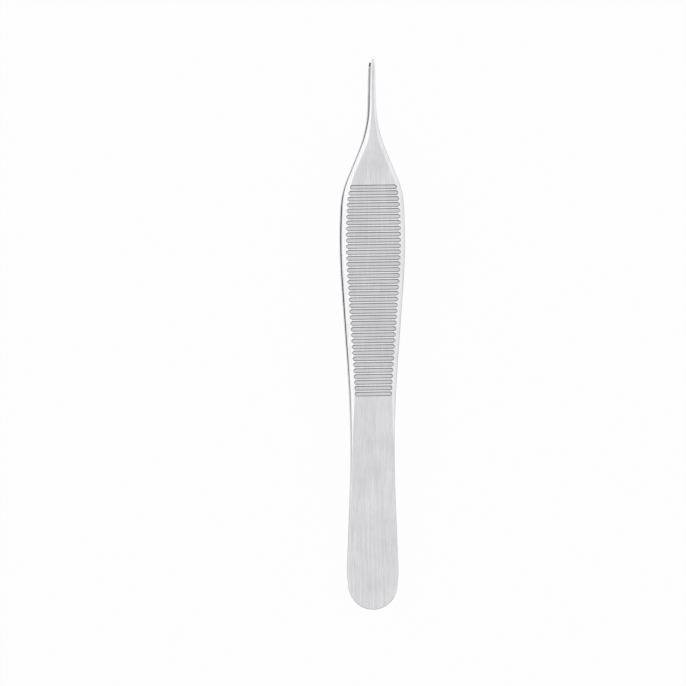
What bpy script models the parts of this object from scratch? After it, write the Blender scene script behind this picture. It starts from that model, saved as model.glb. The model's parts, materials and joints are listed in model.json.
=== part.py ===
"""Thumb forceps: two forged spring arms, welded face to face at the butt.

Both arms come from one forging: the second is the first turned over about the long axis, with the other
half of the interlocking teeth. Each arm is built in its own frame: X across, Y from the butt (0) to the tip,
Z from the welding plane (0) out to the face that the fingers press. An empty then lays the pair down on its
side, on the heel and the grip of the lower arm, with the middle of its footprint at the world's origin.
Metres.
"""

import math

import bmesh
import bpy
import numpy as np
from mathutils import Matrix, Vector

# Plan outline, from butt to tip: runs along the arm, half widths, and the radii that round the corners.
SWELL_RUN = 0.0079
WAIST_RUN = 0.0314
SHOULDER_RUN = 0.0406
FLANK_RUN = 0.0114
NECK_RUN = 0.0139
BEAK_RUN = 0.0131
TIP_RUN = 0.0017
BUTT_HALF_WIDTH = 0.00478
SWELL_HALF_WIDTH = 0.00562
WAIST_HALF_WIDTH = 0.00437
SHOULDER_HALF_WIDTH = 0.00716
FLANK_HALF_WIDTH = 0.00651
NECK_HALF_WIDTH = 0.00076
BEAK_HALF_WIDTH = 0.00047
TIP_HALF_WIDTH = 0.00027
BUTT_RADIUS = 0.00555
SWELL_RADIUS = 0.0163
WAIST_RADIUS = 0.236
SHOULDER_RADIUS = 0.132
FLANK_RADIUS = 0.0188
NECK_RADIUS = 0.0267
BEAK_RADIUS = 0.01
TIP_RADIUS = 0.00024

# Side view: the inner face leaves the welding plane where the land ends, bows out quickly as far as the
# middle of the grip and spreads slowly from there to the tip. Each height is half of the open gap there.
LAND_LENGTH = 0.016
SPRING_RUN = 0.019
BOW_RUN = 0.033
SPRING_HALF_GAP = 0.0014
BOW_HALF_GAP = 0.0034
GRIP_HALF_GAP = 0.0038
TIP_HALF_GAP = 0.004
LAND_BEND_RADIUS = 0.07
SPRING_BEND_RADIUS = 0.4
GRIP_BEND_RADIUS = 0.15

# Thickness: stiff at the weld and the grip, thin where the arm flexes, fine at the tip.
LAND_THICKNESS = 0.0015
SPRING_THICKNESS = 0.00115
GRIP_THICKNESS = 0.00175
NECK_THICKNESS = 0.00145
TIP_THICKNESS = 0.0008
NOSE_THICKNESS = 0.0006
THICKNESS_BLEND_RADIUS = 0.3

# Long edges of the outer face: a wide crowned chamfer round the grip, narrower towards the beak, and a plain
# broken edge at the butt. The inner edges are broken too, but only by a hair where the weld closes over them.
CHAMFER_WIDTH = 0.0013
CHAMFER_FLANK_WIDTH = 0.00088
CHAMFER_TAPER = 0.008
CHAMFER_DROP = 0.0008
CHAMFER_PAST_WAIST = 0.0055
CHAMFER_BLEND = 0.022
CHAMFER_SHARE_OF_BEAK = 0.5
CHAMFER_CROWN_IN = 0.42
CHAMFER_CROWN_DOWN = 0.4
CHAMFER_STEPS = 4
EDGE_BREAK = 0.00016
EDGE_BREAK_SHARE = 0.25
SEAM_BREAK = 0.00005
SEAM_BLEND = 0.003

# Grip: transverse grooves with round ends, sunk into the outer face.
GRIP_FROM_WAIST = 0.00787
GRIP_PAST_FLANK = 0.0009
GROOVE_PITCH = 0.001285
GROOVE_WIDTH = 0.00093
GROOVE_DEPTH = 0.00022
GROOVE_INSET = 0.00088
GROOVE_DRAFT = math.radians(30)
GROOVE_SKEW = math.radians(0.8)
GROOVE_CUT_OVER = 0.00012
GROOVE_END_STRETCH = 1.4
GROOVE_END_STEPS = 8

# Interlocking teeth at the tips: one on the upper arm, which closes into the notch between two on the lower.
TOOTH_HEIGHT = 0.00055
TOOTH_LENGTH = 0.0009
TOOTH_CREST_LENGTH = 0.00035
TOOTH_HALF_WIDTH = 0.00026
TOOTH_CREST_HALF_WIDTH = 0.00003
TOOTH_CLEARANCE = 0.00003
TOOTH_CUT_IN = 0.00001
TOOTH_CUT_OVER = 0.0001

OUTLINE_CHORD_ERROR = 0.000004
PROFILE_CHORD_ERROR = 0.0000005
SAME_POINT = 0.0000001
LONGEST_FACET = 0.0022
LONGEST_TIP_FACET = 0.0003
LYING_SAMPLES = 400
STEEL = (0.70, 0.70, 0.72, 1.0)
STEEL_ROUGHNESS = 0.34
SHARP_ANGLE = math.radians(22)

SWELL_AT = SWELL_RUN
WAIST_AT = SWELL_AT + WAIST_RUN
SHOULDER_AT = WAIST_AT + SHOULDER_RUN
FLANK_AT = SHOULDER_AT + FLANK_RUN
NECK_AT = FLANK_AT + NECK_RUN
BEAK_AT = NECK_AT + BEAK_RUN
LENGTH = BEAK_AT + TIP_RUN

OUTLINE = [
    (0, 0, 0),
    (0, BUTT_HALF_WIDTH, BUTT_RADIUS),
    (SWELL_AT, SWELL_HALF_WIDTH, SWELL_RADIUS),
    (WAIST_AT, WAIST_HALF_WIDTH, WAIST_RADIUS),
    (SHOULDER_AT, SHOULDER_HALF_WIDTH, SHOULDER_RADIUS),
    (FLANK_AT, FLANK_HALF_WIDTH, FLANK_RADIUS),
    (NECK_AT, NECK_HALF_WIDTH, NECK_RADIUS),
    (BEAK_AT, BEAK_HALF_WIDTH, BEAK_RADIUS),
    (LENGTH, TIP_HALF_WIDTH, TIP_RADIUS),
    (LENGTH, 0, 0),
]
INNER_FACE = [
    (0, 0, 0),
    (LAND_LENGTH, 0, LAND_BEND_RADIUS),
    (LAND_LENGTH + SPRING_RUN, SPRING_HALF_GAP, SPRING_BEND_RADIUS),
    (LAND_LENGTH + SPRING_RUN + BOW_RUN, BOW_HALF_GAP, SPRING_BEND_RADIUS),
    (FLANK_AT, GRIP_HALF_GAP, GRIP_BEND_RADIUS),
    (LENGTH, TIP_HALF_GAP, 0),
]
THICKNESS = [
    (0, LAND_THICKNESS, 0),
    (LAND_LENGTH, LAND_THICKNESS, THICKNESS_BLEND_RADIUS),
    (WAIST_AT - SPRING_RUN / 2, SPRING_THICKNESS, THICKNESS_BLEND_RADIUS),
    (WAIST_AT + GRIP_FROM_WAIST, GRIP_THICKNESS, THICKNESS_BLEND_RADIUS),
    (FLANK_AT, GRIP_THICKNESS, THICKNESS_BLEND_RADIUS),
    (NECK_AT, NECK_THICKNESS, THICKNESS_BLEND_RADIUS),
    (LENGTH - TOOTH_LENGTH, TIP_THICKNESS, 2 * TOOTH_LENGTH),
    (LENGTH, NOSE_THICKNESS, 0),
]


def rounded_chain(corners, chord_error):
    """Points along straight runs, with each corner (along, up, radius) rounded within the runs beside it."""
    points = [np.array(corner[:2], float) for corner in corners]
    runs = [np.linalg.norm(b - a) for a, b in zip(points, points[1:])]
    turns, tangents = [0.0], [0.0]
    for a, p, b, corner in zip(points, points[1:], points[2:], corners[1:]):
        u, v = p - a, b - p
        turn = math.atan2(u[0] * v[1] - u[1] * v[0], u @ v)
        turns.append(turn)
        tangents.append(corner[2] * math.tan(abs(turn) / 2))
    turns.append(0.0)
    tangents.append(0.0)
    room = [min(1.0, run / (a + b)) if a + b else 1.0 for run, a, b in zip(runs, tangents, tangents[1:])]
    chain = [points[0]]
    for i in range(1, len(points) - 1):
        back = tangents[i] * min(room[i - 1], room[i])
        if back < SAME_POINT:
            chain.append(points[i])
            continue
        radius = back / math.tan(abs(turns[i]) / 2)
        u = (points[i] - points[i - 1]) / runs[i - 1]
        side = np.array([-u[1], u[0]]) * math.copysign(1, turns[i])
        centre = points[i] - u * back + side * radius
        step = 2 * math.acos(1 - chord_error / radius)
        steps = max(1, math.ceil(abs(turns[i]) / step))
        for k in range(steps + 1):
            angle = turns[i] * k / steps
            cos, sin = math.cos(angle), math.sin(angle)
            spoke = -side * radius
            turned = (spoke[0] * cos - spoke[1] * sin, spoke[0] * sin + spoke[1] * cos)
            chain.append(centre + np.array(turned))
    chain.append(points[-1])
    kept = [chain[0]]
    kept += [p for a, p in zip(chain, chain[1:]) if np.linalg.norm(p - a) > SAME_POINT]
    return np.array(kept)


def split_long(points):
    """The same chain with its long runs divided, more finely at the tip."""
    out = [points[0]]
    for a, b in zip(points, points[1:]):
        longest = LONGEST_TIP_FACET if (a[0] + b[0]) / 2 > LENGTH - 2 * TOOTH_LENGTH else LONGEST_FACET
        parts = max(1, math.ceil(np.linalg.norm(b - a) / longest))
        out += [a + (b - a) * (k + 1) / parts for k in range(parts)]
    return np.array(out)


inner_profile = rounded_chain(INNER_FACE, PROFILE_CHORD_ERROR)
thickness_profile = rounded_chain(THICKNESS, PROFILE_CHORD_ERROR)
width_profile = rounded_chain(OUTLINE, PROFILE_CHORD_ERROR)


def inner_height(y):
    return float(np.interp(y, inner_profile[:, 0], inner_profile[:, 1]))


def outer_height(y):
    return inner_height(y) + float(np.interp(y, thickness_profile[:, 0], thickness_profile[:, 1]))


def half_width(y):
    return float(np.interp(y, width_profile[:, 0], width_profile[:, 1]))


def tooth_rise(y):
    """How far the tooth stands over the inner face, towards the other arm: a sloped back, then the crest."""
    back = TOOTH_LENGTH - TOOTH_CREST_LENGTH
    return TOOTH_HEIGHT * min(1.0, max(0.0, (y - (LENGTH - TOOTH_LENGTH)) / back))


def eased(t):
    """0 below 0, 1 above 1, and a smooth run between."""
    t = min(1.0, max(0.0, t))
    return t * t * (3 - 2 * t)


def edge_break(y):
    """The small bevel of the plain edges, less on the fine beak. The round ends keep the size beside them."""
    return min(EDGE_BREAK, EDGE_BREAK_SHARE * half_width(min(max(y, SWELL_AT), BEAK_AT)))


def inner_break(y):
    """The bevel of the inner edges: a hair over the welded land, then the plain one."""
    open_share = min(1.0, max(0.0, (y - LAND_LENGTH) / SEAM_BLEND))
    return SEAM_BREAK + (edge_break(y) - SEAM_BREAK) * open_share


def chamfer(y):
    """(width, drop) of the outer face's long edges: plain over the handle, wide from the grip on."""
    share, plain = eased((y - WAIST_AT - CHAMFER_PAST_WAIST) / CHAMFER_BLEND + 0.5), edge_break(y)
    wide = CHAMFER_WIDTH + (CHAMFER_FLANK_WIDTH - CHAMFER_WIDTH) * eased((y - FLANK_AT) / CHAMFER_TAPER + 0.5)
    wide = min(wide, CHAMFER_SHARE_OF_BEAK * half_width(min(y, BEAK_AT)))
    drop = CHAMFER_DROP * wide / CHAMFER_WIDTH
    return plain + (wide - plain) * share, plain + (drop - plain) * share


def outline_stations():
    """Points (along, across) of one flank from butt to tip, each with its outward normal."""
    chain = rounded_chain(OUTLINE, OUTLINE_CHORD_ERROR)
    for y in (LENGTH - 2 * TOOTH_LENGTH, LENGTH - TOOTH_LENGTH, LENGTH - TOOTH_CREST_LENGTH):
        chain = np.insert(chain, np.searchsorted(chain[:, 0], y), (y, half_width(y)), axis=0)
    chain = split_long(chain)
    ahead = np.diff(chain, axis=0)
    ahead /= np.linalg.norm(ahead, axis=1)[:, None]
    along = np.vstack([(0, 1), ahead[:-1] + ahead[1:], (0, -1)])
    along /= np.linalg.norm(along, axis=1)[:, None]
    return chain, np.c_[-along[:, 1], along[:, 0]]


def section(station, normal):
    """The levels of one flank at a station, from the inner face round to the outer one, as (x, y, z)."""
    y, across = station
    broken = inner_break(y)
    width, drop = chamfer(y)

    def level(inset, height):
        at = y - normal[0] * inset
        return (max(0.0, across - normal[1] * inset), at, height(at))

    levels = [
        level(broken, lambda at: inner_height(at) - tooth_rise(at)),
        level(0, lambda at: inner_height(at) - tooth_rise(at) + broken),
        level(0, lambda at: outer_height(at) - drop),
    ]
    for k in range(1, CHAMFER_STEPS + 1):
        t = k / CHAMFER_STEPS
        inset = width * (2 * t * (1 - t) * CHAMFER_CROWN_IN + t * t)
        down = drop * ((1 - t) ** 2 + 2 * t * (1 - t) * CHAMFER_CROWN_DOWN)
        levels.append(level(inset, lambda at, down=down: outer_height(at) - down))
    return levels


def skin(rows, mesh_name):
    """A closed body from the levels of one flank and their mirror image, joined across both faces."""
    bm = bmesh.new()
    right, left = [], []
    for levels in rows:
        made = [bm.verts.new(point) for point in levels]
        right.append(made)
        centred = all(point[0] < SAME_POINT for point in levels)
        left.append(made if centred else [bm.verts.new((-x, y, z)) for x, y, z in levels])
    rings = [one + other[::-1] for one, other in zip(right, left)]
    for low, high in zip(rings, rings[1:]):
        count = len(low)
        for i in range(count):
            j = (i + 1) % count
            corners = []
            for vert in (low[i], low[j], high[j], high[i]):
                if vert not in corners:
                    corners.append(vert)
            if len(corners) > 2 and not bm.faces.get(corners):
                bm.faces.new(corners)
    bmesh.ops.remove_doubles(bm, verts=bm.verts, dist=SAME_POINT)
    bmesh.ops.recalc_face_normals(bm, faces=bm.faces)
    mesh = bpy.data.meshes.new(mesh_name)
    bm.to_mesh(mesh)
    bm.free()
    return mesh


def groove_outline(half_length, half_breadth):
    """A flat-sided slot with drawn-out round ends, as (x, y) round its middle."""
    end_length = GROOVE_END_STRETCH * half_breadth
    points = []
    for end in (1, -1):
        for k in range(GROOVE_END_STEPS + 1):
            angle = -math.pi / 2 + math.pi * k / GROOVE_END_STEPS
            x = half_length - end_length + end_length * math.cos(angle)
            points.append((end * x, end * half_breadth * math.sin(angle)))
    return points


def groove_cutter_mesh(name):
    """One drafted slot for each groove, standing square to the outer face where it cuts."""
    bm = bmesh.new()
    start, end = WAIST_AT + GRIP_FROM_WAIST, FLANK_AT + GRIP_PAST_FLANK
    for k in range(int((end - start) / GROOVE_PITCH + 0.5) + 1):
        y = start + k * GROOVE_PITCH
        slope = math.atan2(outer_height(y + GROOVE_WIDTH) - outer_height(y - GROOVE_WIDTH), 2 * GROOVE_WIDTH)
        place = (
            Matrix.Translation((0, y, outer_height(y)))
            @ Matrix.Rotation(slope, 4, "X")
            @ Matrix.Rotation(GROOVE_SKEW, 4, "Z")
        )
        rings = []
        for z in (-GROOVE_DEPTH, GROOVE_CUT_OVER):
            grow = math.tan(GROOVE_DRAFT) * z
            half_length = half_width(y) - GROOVE_INSET + grow
            outline = groove_outline(half_length, GROOVE_WIDTH / 2 + grow)
            rings.append([bm.verts.new(place @ Vector((x, v, z))) for x, v in outline])
        floor, top = rings
        bm.faces.new(floor[::-1])
        bm.faces.new(top)
        for i in range(len(floor)):
            j = (i + 1) % len(floor)
            bm.faces.new((floor[i], floor[j], top[j], top[i]))
    bmesh.ops.recalc_face_normals(bm, faces=bm.faces)
    mesh = bpy.data.meshes.new(name)
    bm.to_mesh(mesh)
    bm.free()
    return mesh


def tip_cutter_mesh(outlines, name):
    """Closed bars along the raised end of the tip, with outlines of (across, depth over the inner face)."""
    start, end = LENGTH - TOOTH_LENGTH - TOOTH_CUT_OVER, LENGTH + TOOTH_CUT_OVER
    fall = (inner_height(LENGTH) - inner_height(LENGTH - TOOTH_LENGTH)) / TOOTH_LENGTH
    bm = bmesh.new()
    for outline in outlines:
        rings = []
        for y in (start, end):
            face = inner_height(LENGTH) + (y - LENGTH) * fall
            rings.append([bm.verts.new((x, y, face - depth)) for x, depth in outline])
        near, far = rings
        bm.faces.new(near)
        bm.faces.new(far[::-1])
        for i in range(len(near)):
            j = (i + 1) % len(near)
            bm.faces.new((near[j], near[i], far[i], far[j]))
    bmesh.ops.recalc_face_normals(bm, faces=bm.faces)
    mesh = bpy.data.meshes.new(name)
    bm.to_mesh(mesh)
    bm.free()
    return mesh


def single_tooth_cutter_mesh(name):
    """Clears both sides of the raised end, so that one tooth is left in the middle."""
    side = [
        (TOOTH_HALF_WIDTH, -TOOTH_CUT_IN),
        (TOOTH_CREST_HALF_WIDTH, TOOTH_HEIGHT),
        (TOOTH_CREST_HALF_WIDTH, 2 * TOOTH_HEIGHT),
        (2 * BEAK_HALF_WIDTH, 2 * TOOTH_HEIGHT),
        (2 * BEAK_HALF_WIDTH, -TOOTH_CUT_IN),
    ]
    return tip_cutter_mesh([side, [(-x, depth) for x, depth in side[::-1]]], name)


def notch_cutter_mesh(name):
    """The notch between two teeth: the single tooth turned over, with a clearance on each side."""
    floor = TOOTH_CREST_HALF_WIDTH + TOOTH_CLEARANCE
    top = TOOTH_HALF_WIDTH + TOOTH_CLEARANCE
    side = [(floor, -TOOTH_CUT_IN), (top, TOOTH_HEIGHT), (top, 2 * TOOTH_HEIGHT)]
    return tip_cutter_mesh([side + [(-x, depth) for x, depth in side[::-1]]], name)


def add_object(name, mesh, parent):
    obj = bpy.data.objects.new(name, mesh)
    bpy.context.scene.collection.objects.link(obj)
    obj.parent = parent
    return obj


def add_cutter(name, mesh, arm, solver):
    """A helper that takes its shape out of the arm that it hangs on."""
    cutter = add_object(name, mesh, arm)
    cutter.hide_render = True
    cutter.display_type = "WIRE"
    cut = arm.modifiers.new(name, "BOOLEAN")
    cut.operation = "DIFFERENCE"
    cut.solver = solver
    cut.object = cutter


def steel(name):
    material = bpy.data.materials.new(name)
    material.use_nodes = True
    shader = material.node_tree.nodes["Principled BSDF"]
    shader.inputs["Base Color"].default_value = STEEL
    shader.inputs["Metallic"].default_value = 1.0
    shader.inputs["Roughness"].default_value = STEEL_ROUGHNESS
    return material


def build_arm(name, tooth_cutter, parent):
    stations, normals = outline_stations()
    mesh = skin([section(s, n) for s, n in zip(stations, normals)], name)
    mesh.shade_smooth()
    mesh.set_sharp_from_angle(angle=SHARP_ANGLE)
    mesh.materials.append(steel(name + "_steel"))
    arm = add_object(name, mesh, parent)
    add_cutter(name + "_grooves", groove_cutter_mesh(name + "_grooves"), arm, "EXACT")
    add_cutter(name + "_teeth", tooth_cutter(name + "_teeth"), arm, "MANIFOLD")
    return arm


def lying_angle():
    """How far the pair leans back when the lower arm's heel and grip both touch the floor."""
    heel = np.array([EDGE_BREAK, outer_height(EDGE_BREAK)])
    ahead = np.linspace(LAND_LENGTH, LENGTH, LYING_SAMPLES)
    return max(math.atan2(outer_height(y) - heel[1], y - heel[0]) for y in ahead)


def lay_down(pair, arms):
    """Turns the pair onto its side and brings the middle of its footprint to the origin."""
    pair.rotation_euler = (lying_angle(), 0, 0)
    bpy.context.view_layer.update()
    corners = np.array([arm.matrix_world @ vert.co for arm in arms for vert in arm.data.vertices])
    low, high = corners.min(axis=0), corners.max(axis=0)
    pair.location = (-(low[0] + high[0]) / 2, -(low[1] + high[1]) / 2, -low[2])


def main():
    for obj in list(bpy.data.objects):
        bpy.data.objects.remove(obj, do_unlink=True)
    pair = add_object("forceps", None, None)
    upper = build_arm("upper_arm", single_tooth_cutter_mesh, pair)
    lower = build_arm("lower_arm", notch_cutter_mesh, pair)
    lower.rotation_euler = (0, math.pi, 0)
    lay_down(pair, (upper, lower))


main()
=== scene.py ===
import json
import math

import bpy
import numpy as np
from mathutils import Matrix, Vector


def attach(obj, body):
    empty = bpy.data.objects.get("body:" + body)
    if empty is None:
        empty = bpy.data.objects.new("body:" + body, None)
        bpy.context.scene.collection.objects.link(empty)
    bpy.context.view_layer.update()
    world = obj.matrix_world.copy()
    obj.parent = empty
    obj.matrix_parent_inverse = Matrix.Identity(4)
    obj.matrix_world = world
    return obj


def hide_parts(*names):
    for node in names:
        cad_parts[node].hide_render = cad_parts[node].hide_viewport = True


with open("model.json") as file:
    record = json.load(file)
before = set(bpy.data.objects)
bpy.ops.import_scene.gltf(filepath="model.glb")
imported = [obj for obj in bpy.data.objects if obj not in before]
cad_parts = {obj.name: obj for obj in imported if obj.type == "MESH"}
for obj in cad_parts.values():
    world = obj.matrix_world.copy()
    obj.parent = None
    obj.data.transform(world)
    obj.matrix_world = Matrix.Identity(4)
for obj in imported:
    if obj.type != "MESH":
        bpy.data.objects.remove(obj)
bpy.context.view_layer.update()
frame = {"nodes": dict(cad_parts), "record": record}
print("frame loaded:", ", ".join(sorted(frame["nodes"])))

# Sizes are in metres. Along is the distance from the butt, across the distance from the middle of the arm.
outline = {
    "swellAt": 0.0079, "waistAt": 0.0393, "shoulderAt": 0.0799, "flankAt": 0.0913, "neckAt": 0.1052,
    "beakAt": 0.1183, "tipAt": 0.12,
    "buttHalf": 0.00478, "swellHalf": 0.00562, "waistHalf": 0.00437, "shoulderHalf": 0.00716,
    "flankHalf": 0.00651, "neckHalf": 0.00076, "beakHalf": 0.00047, "tipHalf": 0.00027,
    "buttRadius": 0.00555, "swellRadius": 0.0163, "waistRadius": 0.236, "shoulderRadius": 0.132,
    "flankRadius": 0.0188, "neckRadius": 0.0267, "beakRadius": 0.01, "tipRadius": 0.00024,
}
side = {
    "landEnd": 0.016, "springEnd": 0.035, "bowEnd": 0.068,
    "springGap": 0.0014, "bowGap": 0.0034, "gripGap": 0.0038, "tipGap": 0.004,
    "landBend": 0.07, "springBend": 0.4, "gripBend": 0.15,
    "landThick": 0.0015, "springThick": 0.00115, "gripThick": 0.00175, "neckThick": 0.00145,
    "tipThick": 0.0008, "noseThick": 0.0006, "thinnestAt": 0.0298, "thickBend": 0.3,
}
edges = {
    "chamferWidth": 0.0013, "chamferDrop": 0.0008, "chamferAt": 0.0448, "chamferBlend": 0.022,
    "flankWidth": 0.00088, "chamferTaper": 0.008, "beakShare": 0.5,
    "crownIn": 0.42, "crownDown": 0.4,  # where the bevel's crown pulls to, as shares of its width and drop
    "breakSize": 0.00016, "breakShare": 0.25, "breakMiddle": 0.3,
    "seamBreak": 0.00005, "seamBlend": 0.003, "innerBreakShare": 0.75,
}
grip = {
    "startAt": 0.04717, "endAt": 0.0922, "pitch": 0.001285, "width": 0.00093, "depth": 0.00022,
    "inset": 0.00088, "endStretch": 1.4, "wallRun": 0.000127, "skew": math.radians(0.8), "fade": 0.002,
    "endFade": 0.45, "uneven": 0.14, "unevenTurn": 2.4,
}
teeth = {
    "height": 0.00055, "length": 0.0009, "crest": 0.00035, "half": 0.00026, "crestHalf": 0.00003,
    # shadeRun is how far the painted shade on the teeth takes to fade in
    "clearance": 0.00003, "shadeRun": 0.0001,
}
mesh = {
    "chordError": 0.0000012, "lineFiner": 4, "leastCosine": 0.5, "fewestSteps": 2,
    "sharpUnder": 1e-9, "samePoint": 1e-7, "closestRows": 4e-6, "weldStep": 2e-8,
    "longestRow": 0.0012, "gripClear": 0.0002, "tipRow": 0.00005, "rowsBehindTeeth": 4,
    "wallRows": (0.15, 0, -0.17, -0.35, -0.55, -0.75, -0.92, -1.12),  # times the wall's run, from its top
    "floorRows": (0.5, 0.27),  # times half a groove's width, from its middle
    "innerColumns": 9, "rimColumns": 5, "rimShare": 0.5, "endColumns": 17, "bandColumns": 11,
    "middleColumns": 3,
    "innerSupport": 0.3, "rimSupport": 0.04,  # columns beside an edge that keep the shading flat up to it
    "bandPast": 0.0002, "capPast": 0.00004, "slantTurns": 3,
    "insideShare": 0.25,  # how much of the inner edge break counts as the inner face
}


def roundedChain(corners, chordError):
    # Straight runs between (along, up, radius) corners, each corner rounded as far as its runs allow.
    points = [np.array(corner[:2], float) for corner in corners]
    runs = [np.linalg.norm(after - before) for before, after in zip(points, points[1:])]
    turns, tangents = [0.0], [0.0]
    for before, here, after, corner in zip(points, points[1:], points[2:], corners[1:]):
        arriving, leaving = here - before, after - here
        turn = math.atan2(arriving[0] * leaving[1] - arriving[1] * leaving[0], arriving @ leaving)
        turns.append(turn)
        tangents.append(corner[2] * math.tan(abs(turn) / 2))
    turns.append(0.0)
    tangents.append(0.0)
    room = [min(1.0, run / (a + b)) if a + b else 1.0 for run, a, b in zip(runs, tangents, tangents[1:])]
    chain = [points[0]]
    for i in range(1, len(points) - 1):
        back = tangents[i] * min(room[i - 1], room[i])
        if back < mesh["sharpUnder"]:
            chain.append(points[i])
            continue
        radius = back / math.tan(abs(turns[i]) / 2)
        arriving = (points[i] - points[i - 1]) / runs[i - 1]
        outward = np.array([arriving[1], -arriving[0]]) * math.copysign(1, turns[i])
        centre = points[i] - arriving * back - outward * radius
        x, y = outward * radius
        step = 2 * math.acos(max(mesh["leastCosine"], 1 - chordError / radius))
        steps = max(mesh["fewestSteps"], math.ceil(abs(turns[i]) / step))
        for k in range(steps + 1):
            angle = turns[i] * k / steps
            cos, sin = math.cos(angle), math.sin(angle)
            chain.append(centre + np.array([x * cos - y * sin, x * sin + y * cos]))
    chain.append(points[-1])
    kept = [chain[0]]
    kept += [after for before, after in zip(chain, chain[1:])
             if np.linalg.norm(after - before) > mesh["samePoint"]]
    return np.array(kept)


outlineCorners = [(0, 0, 0), (0, outline["buttHalf"], outline["buttRadius"])]
outlineCorners += [(outline[name + "At"], outline[name + "Half"], outline[name + "Radius"])
                   for name in ("swell", "waist", "shoulder", "flank", "neck", "beak", "tip")]
outlineCorners += [(outline["tipAt"], 0, 0)]
innerCorners = [
    (0, 0, 0),
    (side["landEnd"], 0, side["landBend"]),
    (side["springEnd"], side["springGap"], side["springBend"]),
    (side["bowEnd"], side["bowGap"], side["springBend"]),
    (outline["flankAt"], side["gripGap"], side["gripBend"]),
    (outline["tipAt"], side["tipGap"], 0),
]
thickCorners = [
    (0, side["landThick"], 0),
    (side["landEnd"], side["landThick"], side["thickBend"]),
    (side["thinnestAt"], side["springThick"], side["thickBend"]),
    (grip["startAt"], side["gripThick"], side["thickBend"]),
    (outline["flankAt"], side["gripThick"], side["thickBend"]),
    (outline["neckAt"], side["neckThick"], side["thickBend"]),
    (outline["tipAt"] - teeth["length"], side["tipThick"], 2 * teeth["length"]),
    (outline["tipAt"], side["noseThick"], 0),
]
widthLine, innerLine, thickLine = [
    roundedChain(corners, mesh["chordError"] / mesh["lineFiner"])
    for corners in (outlineCorners, innerCorners, thickCorners)]


def innerHeight(along):
    return np.interp(along, innerLine[:, 0], innerLine[:, 1])


def outerHeight(along):
    return innerHeight(along) + np.interp(along, thickLine[:, 0], thickLine[:, 1])


def halfWidth(along):
    return np.interp(along, widthLine[:, 0], widthLine[:, 1])


def smooth(t):
    t = np.clip(t, 0, 1)
    return t * t * (3 - 2 * t)


def breakSize(along):
    # The edge break, smaller where the beak is narrow.
    half = halfWidth(np.clip(along, outline["swellAt"], outline["beakAt"]))
    return np.minimum(edges["breakSize"], edges["breakShare"] * half)


def innerBreak(along):
    # The inner face's edges are all but sharp at the weld and broken where the arms stand apart.
    openShare = np.clip((along - side["landEnd"]) / edges["seamBlend"], 0, 1)
    return edges["seamBreak"] + (breakSize(along) * edges["innerBreakShare"] - edges["seamBreak"]) * openShare


def chamferSize(along):
    # The outer bevel's width and drop: an edge break near the butt, widest beside the grip, then narrower.
    share = smooth((along - edges["chamferAt"]) / edges["chamferBlend"] + 0.5)
    pastGrip = smooth((along - outline["flankAt"]) / edges["chamferTaper"] + 0.5)
    narrowed = (edges["flankWidth"] - edges["chamferWidth"]) * pastGrip
    beakWide = edges["beakShare"] * halfWidth(np.minimum(along, outline["beakAt"]))
    wide = np.minimum(edges["chamferWidth"] + narrowed, beakWide)
    drop = edges["chamferDrop"] * wide / edges["chamferWidth"]
    plain = breakSize(along)
    return plain + (wide - plain) * share, plain + (drop - plain) * share


lastGroove = int((grip["endAt"] - grip["startAt"]) / grip["pitch"] + 0.5)  # the first is number 0


def straightened(across, along):
    # Where a point would be along the arm if the grooves ran square across it.
    return along - across * math.tan(grip["skew"])


def grooveNumber(across, along):
    number = np.round((straightened(across, along) - grip["startAt"]) / grip["pitch"])
    return np.clip(number, 0, lastGroove)


def grooveReach(centre):
    # How far out from the arm's middle a groove runs before its round end starts.
    return halfWidth(centre) - grip["inset"] - grip["width"] / 2 * grip["endStretch"]


def grooveDepth(across, along):
    # How deep the grip's grooves are at each point: round-ended slots with soft walls.
    centre = grip["startAt"] + grooveNumber(across, along) * grip["pitch"]
    cos, sin = math.cos(grip["skew"]), math.sin(grip["skew"])
    lengthwise = across * cos + (along - centre) * sin
    sideways = (along - centre) * cos - across * sin
    pastEnd = np.maximum(np.abs(lengthwise) - grooveReach(centre), 0) / grip["endStretch"]
    down = np.clip((grip["width"] / 2 - np.hypot(pastEnd, sideways)) / grip["wallRun"], 0, 1)
    return grip["depth"] * (down + smooth(down)) / 2


def wallShadeStrength(across, along):
    # How strong the painted shade on a groove's wall is: less round its ends, and not quite the same from
    # groove to groove.
    number = grooveNumber(across, along)
    reach = grooveReach(grip["startAt"] + number * grip["pitch"])
    atEnd = smooth((np.abs(across) - reach) / (grip["width"] / 2))
    uneven = grip["uneven"] * np.sin(number * grip["unevenTurn"])
    return (1 + uneven) * (1 - grip["endFade"] * atEnd)


def landHighlightShare(across, along):
    # 1 on the narrow lands between two grooves, which get a painted highlight.
    straight = straightened(across, along)
    between = (straight > grip["startAt"]) & (straight < grip["startAt"] + lastGroove * grip["pitch"])
    fromEnd = halfWidth(straight) - grip["inset"] - np.abs(across)
    return between * (1 - grooveDepth(across, along) / grip["depth"]) * smooth(fromEnd / grip["width"])


def toothShape(across, along, twoTeeth):
    # How far the teeth stand over the inner face: one in the middle, or one on each side of a notch.
    ramp = teeth["length"] - teeth["crest"]
    rise = teeth["height"] * np.clip((along - (outline["tipAt"] - teeth["length"])) / ramp, 0, 1)
    if twoTeeth:
        floor, top = teeth["crestHalf"] + teeth["clearance"], teeth["half"] + teeth["clearance"]
        slope = (np.abs(across) - floor) / (top - floor)
    else:
        slope = (teeth["half"] - np.abs(across)) / (teeth["half"] - teeth["crestHalf"])
    return np.minimum(rise, teeth["height"] * np.clip(slope, 0, None))


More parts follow.
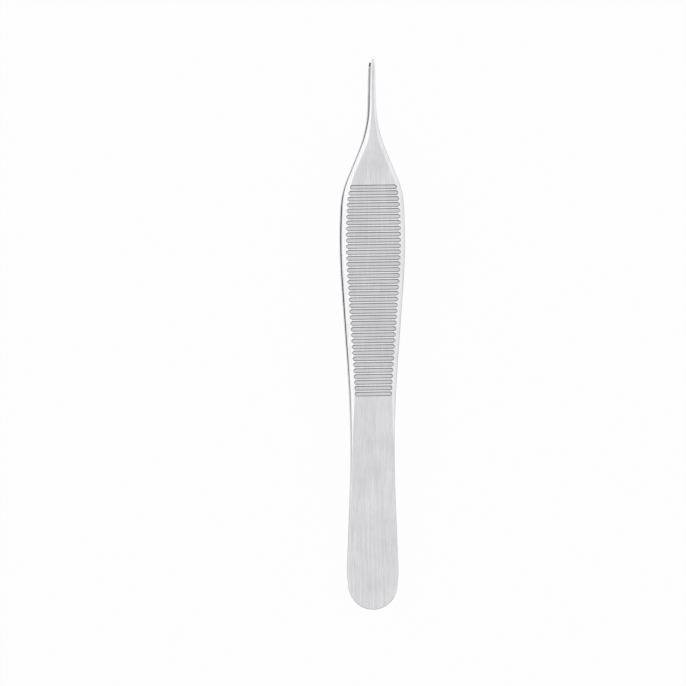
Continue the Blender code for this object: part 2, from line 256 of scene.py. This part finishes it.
def outlineRows():
    # Rows from butt to tip: (along, across, normal along, normal across), closest in the grip and the tip.
    chain = roundedChain(outlineCorners, mesh["chordError"])
    rows = [chain[0]]
    for before, after in zip(chain, chain[1:]):
        parts = max(1, math.ceil(np.linalg.norm(after - before) / mesh["longestRow"]))
        rows += [before + (after - before) * (k + 1) / parts for k in range(parts)]
    rows = np.array(rows)
    half = grip["width"] / 2
    fromMiddle = [half + grip["wallRun"] * share for share in mesh["wallRows"]]
    fromMiddle += [half * share for share in mesh["floorRows"]]
    offsets = sorted([-away for away in fromMiddle] + fromMiddle + [-grip["pitch"] / 2, 0])
    extra = [grip["startAt"] + k * grip["pitch"] + offset
             for k in range(lastGroove + 1) for offset in offsets]
    low, high = min(extra) - mesh["gripClear"], max(extra) + mesh["gripClear"]
    rows = rows[(rows[:, 0] < low) | (rows[:, 0] > high)]
    toothRows = outline["tipAt"] - teeth["length"] - mesh["rowsBehindTeeth"] * mesh["tipRow"]
    extra += list(np.arange(toothRows, outline["tipAt"] - outline["tipRadius"], mesh["tipRow"]))
    extra += [outline["tipAt"] - teeth["crest"]]
    for along in sorted(extra):
        at = np.searchsorted(rows[:, 0], along)
        rows = np.insert(rows, at, (along, halfWidth(along)), axis=0)
    keep = [0]
    for i in range(1, len(rows)):
        if np.linalg.norm(rows[i] - rows[keep[-1]]) > mesh["closestRows"]:
            keep.append(i)
    rows = rows[keep]
    ahead = np.diff(rows, axis=0)
    ahead /= np.linalg.norm(ahead, axis=1)[:, None]
    tangent = np.vstack([(0, 1), ahead[:-1] + ahead[1:], (0, -1)])
    tangent /= np.linalg.norm(tangent, axis=1)[:, None]
    return np.c_[rows, -tangent[:, 1], tangent[:, 0]]


def flankColumns(rows, hand, twoTeeth):
    # The columns of one flank, from the inner face's middle round the edge to the outer face's middle.
    along, across, normalAlong, normalAcross = rows.T
    first, last = grip["startAt"] - grip["width"], grip["endAt"] + grip["width"]
    inGrip = smooth((along - first) / grip["fade"] + 1) * smooth((last - along) / grip["fade"] + 1)
    shear = math.tan(grip["skew"]) * inGrip * hand
    atRim = 0 * along
    columns = []

    def place(inset, height):
        # A column at an inset from the edge. In the grip its rows keep to the grooves' slant.
        x = across - normalAcross * inset
        y = along - normalAlong * inset
        for _ in range(mesh["slantTurns"]):
            rim = along + shear * x + inGrip * normalAlong * inset
            x = np.where(inGrip > 0, halfWidth(rim) - normalAcross * inset, x)
            y = np.where(inGrip > 0, rim - normalAlong * inset, y)
        x = np.maximum(x, 0)
        columns.append(np.c_[x * hand, y, height(x, y)])

    def inner(x, y):
        return innerHeight(y) - toothShape(x, y, twoTeeth)

    def outer(x, y):
        return outerHeight(y) - grooveDepth(x * hand, y)

    def underBevel(x, y):
        foot = outerHeight(y) - drop
        return foot - (foot - innerHeight(y)) * mesh["rimSupport"]

    # The inner face and its edge break
    broken = innerBreak(along)
    flat = np.maximum(across - normalAcross * broken, 0)
    for k in range(mesh["innerColumns"] + 1):
        x = np.minimum(flat * k / mesh["innerColumns"], np.maximum(flat - mesh["innerSupport"] * broken, 0))
        y = along - normalAlong * broken + 0 * x
        columns.append(np.c_[x * hand, y, inner(x, y)])
    place(broken, inner)
    place(broken * edges["breakMiddle"], lambda x, y: inner(x, y) + broken * edges["breakMiddle"])
    place(atRim, lambda x, y: inner(x, y) + broken)

    # The rim and the crowned bevel, which the grooves' ends cut into
    width, drop = chamferSize(along)
    place(atRim, underBevel)
    share = mesh["rimShare"]
    steps = [share * k / mesh["rimColumns"] for k in range(mesh["rimColumns"])]
    steps += [share + (1 - share) * k / mesh["endColumns"] for k in range(mesh["endColumns"] + 1)]
    crownIn = edges["crownIn"]
    for step in steps:
        t = (math.sqrt(crownIn * crownIn + (1 - 2 * crownIn) * step) - crownIn) / (1 - 2 * crownIn)
        down = drop * ((1 - t) ** 2 + 2 * t * (1 - t) * edges["crownDown"])
        place(width * step, lambda x, y, down=down: np.minimum(outerHeight(y) - down, outer(x, y)))

    # A band that reaches past the grooves' round ends, and then the open face up to the middle
    capReach = grip["inset"] + grip["endStretch"] * grip["width"] / 2
    past = np.maximum(mesh["bandPast"], (capReach - width) * inGrip + mesh["capPast"])
    past = past * np.minimum(1, np.maximum(across - width, 0) / edges["chamferWidth"])
    for k in range(1, mesh["bandColumns"] + 1):
        place(width + past * k / mesh["bandColumns"], outer)
    lastX, lastY = np.abs(columns[-1][:, 0]), columns[-1][:, 1]
    middleY = along - normalAlong * (width + past) * (1 - inGrip)
    for k in range(1, mesh["middleColumns"] + 1):
        share = 1 - k / mesh["middleColumns"]
        x = lastX * share
        y = middleY + (lastY - middleY) * share
        columns.append(np.c_[x * hand, y, outer(x, y)])
    return np.stack(columns, axis=1)


def armMesh(name, twoTeeth):
    # A closed skin: one ring of points per row, joined row to row and welded where the ends close.
    rows = outlineRows()
    right = flankColumns(rows, 1, twoTeeth)
    left = flankColumns(rows, -1, twoTeeth)
    ring = np.concatenate([right, left[:, -2:0:-1]], axis=1)
    rowCount, ringCount = ring.shape[:2]
    points = ring.reshape(-1, 3)
    key = np.round(points / mesh["weldStep"]).astype(np.int64)
    _, first, index = np.unique(key, axis=0, return_index=True, return_inverse=True)
    points, index = points[first], index.reshape(-1)
    faces = []
    for i in range(rowCount - 1):
        here, ahead = i * ringCount, (i + 1) * ringCount
        for j in range(ringCount):
            k = (j + 1) % ringCount
            face = []
            for corner in (here + j, ahead + j, ahead + k, here + k):
                if index[corner] not in face:
                    face.append(index[corner])
            if len(face) > 2:
                faces.append(face)
    made = bpy.data.meshes.new(name)
    made.from_pydata([tuple(point) for point in points], [], faces)
    made.validate()
    made.shade_smooth()
    made.update()

    # Masks for the steel: groove floors, lands, the inner face, how strong the painted shade on the groove
    # walls is, and the teeth. They place painted shade in the grooves, on the inner face and on the teeth,
    # and a painted highlight on the lands
    across, along, up = points.T
    innerFace = innerHeight(along)
    outer = up > innerFace + breakSize(along)
    inside = up < innerFace + innerBreak(along) * mesh["insideShare"]
    masks = {
        "sunk": np.where(outer, grooveDepth(across, along) / grip["depth"], 0),
        "land": np.where(outer, landHighlightShare(across, along), 0),
        "inside": inside,
        "wall": wallShadeStrength(across, along),
        "toothed": inside * smooth((along - outline["tipAt"] + teeth["length"]) / teeth["shadeRun"]),
    }
    for label, values in masks.items():
        mask = made.attributes.new(label, "FLOAT", "POINT")
        mask.data.foreach_set("value", values.astype(np.float32))
    print(name, "has", len(made.vertices), "points and", len(made.polygons), "faces")
    return made


def axesMatrix(x, y, z):
    # The turn that lays an object's own axes along three given directions.
    return Matrix((x, y, z)).transposed().to_4x4()


def armPlace():
    # The arm's own frame in the world, from the mount in the middle of the upper arm's butt land.
    mount = next(m for m in frame["record"]["mounts"] if m["name"] == "butt_face_upper")
    up = Vector(mount["axis"]).normalized()
    across = Vector((1, 0, 0))
    along = up.cross(across)
    spot = Vector(mount["pos_m"]) - along * side["landEnd"] / 2 - up * side["landThick"]
    return Matrix.Translation(spot) @ axesMatrix(across, along, up)


def addObject(name, data):
    made = bpy.data.objects.new(name, data)
    bpy.context.scene.collection.objects.link(made)
    return made


def maskGroup(name, inputs, outputs):
    # A node group of plain numbers, with named inputs at their usual values and named outputs.
    group = bpy.data.node_groups.new(name, "ShaderNodeTree")
    for label, value in inputs.items():
        socket = group.interface.new_socket(label, in_out="INPUT", socket_type="NodeSocketFloat")
        socket.default_value = value
    for label in outputs:
        group.interface.new_socket(label, in_out="OUTPUT", socket_type="NodeSocketFloat")
    return group, group.nodes.new("NodeGroupInput"), group.nodes.new("NodeGroupOutput")


def mathNode(tree, operation, first, second, third=None):
    # A number is set on the node's own socket, and another node's output is linked to it.
    node = tree.nodes.new("ShaderNodeMath")
    node.operation = operation
    for socket, value in zip(node.inputs, (first, second, third)):
        if isinstance(value, (int, float)):
            socket.default_value = value
        elif value is not None:
            tree.links.new(value, socket)
    return node.outputs[0]


def noiseNode(tree, where, scale, detail, dimensions="3D"):
    # Noise at the places that another node gives.
    noise = tree.nodes.new("ShaderNodeTexNoise")
    noise.noise_dimensions = dimensions
    noise.inputs["Scale"].default_value = scale
    noise.inputs["Detail"].default_value = detail
    tree.links.new(where, noise.inputs["Vector"])
    return noise


grain = {
    "inputs": {"Hairlines Across": 9000.0, "Hairline Stretch": 0.08, "Bands Across": 4500.0,
               "Band Stretch": 0.03, "Seed": 0.0},
    "hairlineDetail": 3.0, "bandDetail": 2.0, "roughness": 0.6, "cloudScale": 180.0, "cloudDetail": 3.0,
}


def brushGrainGroup():
    # Streaks of a belt-brushed surface: fine hairlines and coarser bands along the arm, and soft clouds.
    group, given, out = maskGroup("brushGrain", grain["inputs"], ("Hairlines", "Bands", "Clouds"))
    nodes, links = group.nodes, group.links
    place = nodes.new("ShaderNodeTexCoord")
    apart = nodes.new("ShaderNodeSeparateXYZ")
    links.new(place.outputs["Object"], apart.inputs[0])
    for target, acrossLabel, stretchLabel, detail in (
            ("Hairlines", "Hairlines Across", "Hairline Stretch", grain["hairlineDetail"]),
            ("Bands", "Bands Across", "Band Stretch", grain["bandDetail"])):
        fast = given.outputs[acrossLabel]
        slow = mathNode(group, "MULTIPLY", fast, given.outputs[stretchLabel])
        point = nodes.new("ShaderNodeCombineXYZ")
        for axis, rate in (("X", fast), ("Y", slow), ("Z", slow)):
            links.new(mathNode(group, "MULTIPLY", apart.outputs[axis], rate), point.inputs[axis])
        noise = noiseNode(group, point.outputs[0], 1.0, detail, "4D")
        noise.inputs["Roughness"].default_value = grain["roughness"]
        links.new(given.outputs["Seed"], noise.inputs["W"])
        links.new(noise.outputs["Fac"], out.inputs[target])
    cloud = noiseNode(group, place.outputs["Object"], grain["cloudScale"], grain["cloudDetail"])
    links.new(cloud.outputs["Fac"], out.inputs["Clouds"])
    return group


wear = {
    "inputs": {"Edge Start": 0.51, "Edge End": 0.56, "Break Up": 0.35},
    "scale": 900.0, "detail": 4.0,
}


def edgeWearGroup():
    # A mask of the raised edges, where handling polishes the steel, broken up by a fine noise.
    group, given, out = maskGroup("edgeWear", wear["inputs"], ("Edges",))
    nodes, links = group.nodes, group.links
    geometry = nodes.new("ShaderNodeNewGeometry")
    ramp = nodes.new("ShaderNodeMapRange")
    ramp.interpolation_type = "SMOOTHSTEP"
    links.new(geometry.outputs["Pointiness"], ramp.inputs["Value"])
    links.new(given.outputs["Edge Start"], ramp.inputs["From Min"])
    links.new(given.outputs["Edge End"], ramp.inputs["From Max"])
    place = nodes.new("ShaderNodeTexCoord")
    noise = noiseNode(group, place.outputs["Object"], wear["scale"], wear["detail"])
    less = mathNode(group, "MULTIPLY", noise.outputs["Fac"], given.outputs["Break Up"])
    kept = mathNode(group, "SUBTRACT", 1.0, less)
    links.new(mathNode(group, "MULTIPLY", ramp.outputs[0], kept), out.inputs["Edges"])
    return group


groups = {"brushGrain": brushGrainGroup(), "edgeWear": edgeWearGroup()}
print("node groups made:", ", ".join(groups))

steel = {
    "light": (0.81, 0.81, 0.825, 1), "dark": (0.59, 0.59, 0.605, 1), "toneFrom": 0.45, "toneTo": 0.85,
    "bandShare": 0.55, "cloudShare": 0.3, "milled": 0.6, "middleStreak": 0.5,
    "roughness": 0.3, "roughnessSwing": 0.03, "cloudLow": 0.3, "cloudHigh": 0.7,
    "edgePolish": 0.1, "insidePolish": 0.15,
    # The shades below are painted shade on the groove walls and floors, the inner face and the teeth, the
    # land value is a painted highlight, and darkest is the least colour the painted shade leaves
    "wallShade": 1.35, "floorShade": 0.1, "landPaintedHighlight": 0.09, "insideShade": 0.2, "toothShade": 0.45,
    "darkest": 0.06, "bump": 0.12, "bumpDistance": 0.00002,
}


def steelMaterial(name, seed):
    material = bpy.data.materials.new(name)
    material.use_nodes = True
    tree = material.node_tree
    nodes, links = tree.nodes, tree.links
    shader = nodes["Principled BSDF"]
    shader.inputs["Metallic"].default_value = 1.0
    brushed = nodes.new("ShaderNodeGroup")
    brushed.node_tree = groups["brushGrain"]
    brushed.inputs["Seed"].default_value = seed
    worn = nodes.new("ShaderNodeGroup")
    worn.node_tree = groups["edgeWear"]
    masks = {}
    for label in ("sunk", "land", "inside", "wall", "toothed"):
        attribute = nodes.new("ShaderNodeAttribute")
        attribute.attribute_name = label
        masks[label] = attribute.outputs["Fac"]

    # The brushed tone, with the streaks calmer on the milled groove floors
    bands = mathNode(tree, "MULTIPLY", brushed.outputs["Bands"], steel["bandShare"])
    streaks = mathNode(tree, "MULTIPLY_ADD", brushed.outputs["Hairlines"], 1 - steel["bandShare"], bands)
    contrast = mathNode(tree, "SUBTRACT", streaks, steel["middleStreak"])
    unmilled = mathNode(tree, "MULTIPLY_ADD", masks["sunk"], -steel["milled"], 1.0)
    calmed = mathNode(tree, "MULTIPLY_ADD", contrast, unmilled, steel["middleStreak"])
    tone = mathNode(tree, "MULTIPLY_ADD", brushed.outputs["Clouds"], steel["cloudShare"], calmed)
    colour = nodes.new("ShaderNodeValToRGB")
    low, high = colour.color_ramp.elements
    low.position, low.color = steel["toneFrom"], steel["dark"]
    high.position, high.color = steel["toneTo"], steel["light"]
    links.new(tone, colour.inputs["Fac"])

    # Painted shade in the hollows, on the inner face and on the teeth, and a painted highlight on the lands.
    # The slope is a quarter at most, half way down a wall.
    above = mathNode(tree, "SUBTRACT", 1.0, masks["sunk"])
    slope = mathNode(tree, "MULTIPLY", masks["sunk"], above)
    wall = mathNode(tree, "MULTIPLY", slope, masks["wall"])
    shade = mathNode(tree, "MULTIPLY", wall, 4 * steel["wallShade"])
    for label, amount in (("inside", "insideShade"), ("sunk", "floorShade"), ("toothed", "toothShade")):
        shade = mathNode(tree, "MULTIPLY_ADD", masks[label], steel[amount], shade)
    bright = mathNode(tree, "MULTIPLY_ADD", masks["land"], steel["landPaintedHighlight"], 1.0)
    rest = mathNode(tree, "SUBTRACT", bright, shade)
    shaded = nodes.new("ShaderNodeVectorMath")
    shaded.operation = "SCALE"
    links.new(colour.outputs["Color"], shaded.inputs[0])
    links.new(mathNode(tree, "MAXIMUM", rest, steel["darkest"]), shaded.inputs["Scale"])
    links.new(shaded.outputs["Vector"], shader.inputs["Base Color"])

    # Satin that varies a little with the clouds, smoother on the inner face and on handled edges
    rough = nodes.new("ShaderNodeMapRange")
    for label, value in (("From Min", steel["cloudLow"]), ("From Max", steel["cloudHigh"]),
                         ("To Min", steel["roughness"] - steel["roughnessSwing"]),
                         ("To Max", steel["roughness"] + steel["roughnessSwing"])):
        rough.inputs[label].default_value = value
    links.new(brushed.outputs["Clouds"], rough.inputs["Value"])
    smoother = mathNode(tree, "MULTIPLY_ADD", masks["inside"], -steel["insidePolish"], rough.outputs[0])
    polished = mathNode(tree, "MULTIPLY_ADD", worn.outputs["Edges"], -steel["edgePolish"], smoother)
    links.new(polished, shader.inputs["Roughness"])

    bump = nodes.new("ShaderNodeBump")
    bump.inputs["Strength"].default_value = steel["bump"]
    bump.inputs["Distance"].default_value = steel["bumpDistance"]
    links.new(brushed.outputs["Hairlines"], bump.inputs["Height"])
    links.new(bump.outputs["Normal"], shader.inputs["Normal"])
    return material


# The lower arm is the same forging turned over about its length.
arms = {
    "upperArm": {"node": "upper_arm", "twoTeeth": False, "grainSeed": 1.0, "turnedOver": 0.0},
    "lowerArm": {"node": "lower_arm", "twoTeeth": True, "grainSeed": 7.0, "turnedOver": math.pi},
}


def addArm(name, node, twoTeeth, grainSeed, turnedOver):
    made = addObject(name, armMesh(name, twoTeeth))
    made.data.transform(armPlace() @ Matrix.Rotation(turnedOver, 4, "Y"))
    made.data.materials.append(steelMaterial(name + "Steel", grainSeed))
    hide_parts(node)
    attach(made, "root")


def whiteWhereSeen(tree, lit, white, look):
    # The lit surface, with a share of plain white for the camera's rays and another for mirrored ones.
    path = tree.nodes.new("ShaderNodeLightPath")
    bounced = mathNode(tree, "MAXIMUM", path.outputs["Is Glossy Ray"], path.outputs["Is Transmission Ray"])
    mirrored = mathNode(tree, "MULTIPLY", bounced, look["mirroredWhite"])
    share = mathNode(tree, "MULTIPLY_ADD", path.outputs["Is Camera Ray"], look["seenWhite"], mirrored)
    mix = tree.nodes.new("ShaderNodeMixShader")
    for source, socket in zip((share, lit.outputs[0], white.outputs[0]), mix.inputs):
        tree.links.new(source, socket)
    return mix.outputs[0]


floorLook = {
    "size": 3.0, "colour": (0.9, 0.9, 0.9, 1), "roughness": 0.9, "seenWhite": 0.97, "mirroredWhite": 0.5,
}


def addFloor():
    half = floorLook["size"] / 2
    corners = [(-half, -half, 0), (half, -half, 0), (half, half, 0), (-half, half, 0)]
    data = bpy.data.meshes.new("floor")
    data.from_pydata(corners, [], [(0, 1, 2, 3)])
    floor = addObject("floor", data)
    material = bpy.data.materials.new("floorPaper")
    material.use_nodes = True
    tree = material.node_tree
    shader = tree.nodes["Principled BSDF"]
    shader.inputs["Base Color"].default_value = floorLook["colour"]
    shader.inputs["Roughness"].default_value = floorLook["roughness"]
    shader.inputs["Specular IOR Level"].default_value = 0.0
    white = tree.nodes.new("ShaderNodeEmission")
    white.inputs["Color"].default_value = (1, 1, 1, 1)
    seen = whiteWhereSeen(tree, shader, white, floorLook)
    tree.links.new(seen, tree.nodes["Material Output"].inputs["Surface"])
    data.materials.append(material)


# Softboxes over the instrument and on both sides. The two ends of the room stay darker.
lamps = {
    "left": {"at": (-0.672, 0.2, 0.396), "size": (1.7, 0.9), "radiance": 0.8},
    "right": {"at": (0.672, 0.2, 0.396), "size": (1.7, 0.9), "radiance": 0.62},
    "over": {"at": (0.0, 0.1, 0.95), "size": (1.6, 1.3), "radiance": 0.4},
}


def addLamp(name, at, size, radiance):
    data = bpy.data.lights.new(name, "AREA")
    data.shape = "RECTANGLE"
    data.size, data.size_y = size
    data.energy = math.pi * radiance * data.size * data.size_y
    lamp = addObject(name + "Light", data)
    lamp.visible_camera = False
    back = Vector(at).normalized()
    longSide = Vector((0, 1, 0))
    lamp.matrix_world = Matrix.Translation(at) @ axesMatrix(longSide, back.cross(longSide), back)


studio = {"strength": 0.2, "seenWhite": 1.0, "mirroredWhite": 0.45}


def addWorld():
    world = bpy.data.worlds.new("studio")
    world.use_nodes = True
    bpy.context.scene.world = world
    tree = world.node_tree
    plain, white = tree.nodes["Background"], tree.nodes.new("ShaderNodeBackground")
    for background, strength in ((plain, studio["strength"]), (white, 1.0)):
        background.inputs["Color"].default_value = (1, 1, 1, 1)
        background.inputs["Strength"].default_value = strength
    seen = whiteWhereSeen(tree, plain, white, studio)
    tree.links.new(seen, tree.nodes["World Output"].inputs["Surface"])


photo = {
    "pixels": 686, "pixelsPerMetre": 4571.6, "distance": 0.7, "fromLeft": math.radians(3.06), "roll": 0.0023,
    "midAlong": 0.05828, "midAcross": -0.00639, "sensorWidth": 36.0, "nearest": 0.01, "furthest": 20,
}


def addCamera():
    # Looks straight down on the upper arm, a little from its left.
    data = bpy.data.cameras.new("photoCamera")
    data.sensor_width = photo["sensorWidth"]
    data.lens = photo["pixelsPerMetre"] * photo["distance"] / photo["pixels"] * data.sensor_width
    data.clip_start, data.clip_end = photo["nearest"], photo["furthest"]
    camera = addObject("photoCamera", data)
    place = armPlace()
    turn = place.to_3x3()
    back = turn @ Vector((-math.sin(photo["fromLeft"]), 0, math.cos(photo["fromLeft"])))
    straightUp = turn @ Vector((0, 1, 0))
    straightAcross = straightUp.cross(back)
    cos, sin = math.cos(photo["roll"]), math.sin(photo["roll"])
    across = straightAcross * cos - straightUp * sin
    up = straightAcross * sin + straightUp * cos
    aim = place @ Vector((photo["midAcross"], photo["midAlong"], 0))
    camera.matrix_world = Matrix.Translation(aim + back * photo["distance"]) @ axesMatrix(across, up, back)
    bpy.context.scene.camera = camera
    bpy.context.scene.view_settings.view_transform = "Standard"


for name, values in arms.items():
    addArm(name, **values)
print("arms made")
addFloor()
for name, values in lamps.items():
    addLamp(name, **values)
addWorld()
addCamera()
print("floor, lights and camera made")
